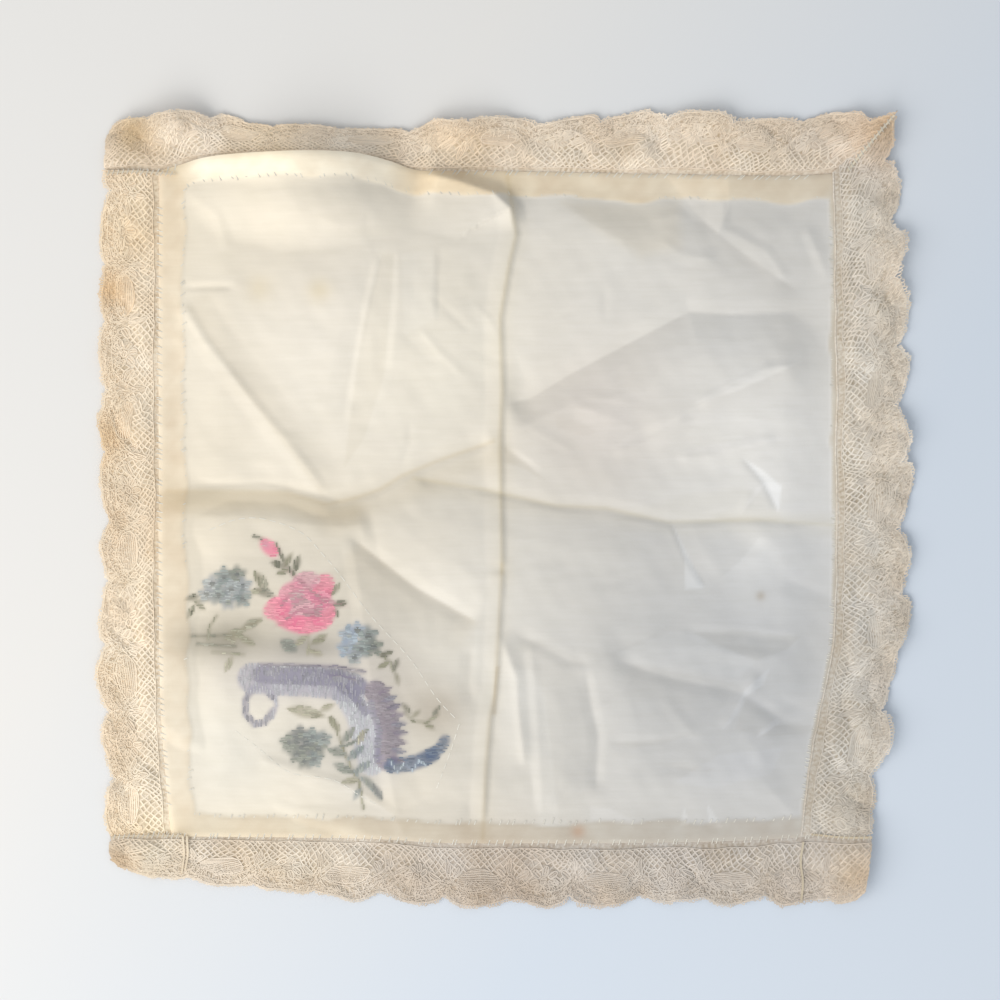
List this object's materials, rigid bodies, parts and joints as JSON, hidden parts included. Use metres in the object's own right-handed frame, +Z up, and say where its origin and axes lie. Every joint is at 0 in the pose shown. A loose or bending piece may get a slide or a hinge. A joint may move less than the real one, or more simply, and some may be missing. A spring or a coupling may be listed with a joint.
{
  "type": "lace handkerchief",
  "caption": "Square sheer silk handkerchief with scalloped lace sewn round its hem and an embroidered flower patch, lying creased on a flat surface.",
  "frame": {"origin": "on the surface the cloth lies on, under the middle of its outline", "axes": "+Z up from the surface; +Y towards the puffed upper edge; +X to the right, seen from above"},
  "size_m": [0.2828, 0.2778, 0.0118],
  "materials": {
    "silk": "sheer aged cream silk, soft sheen, creased",
    "lace": "matt ecru cotton bobbin-type lace, lightly stained",
    "patch": "matt off-white ground cloth with coloured floral stitching"
  },
  "bodies": {
    "root": {"silk_panel": "silk", "lace_top": "lace", "lace_right": "lace", "lace_bottom": "lace", "lace_left": "lace", "embroidered_patch": "patch"}
  },
  "joints": []
}
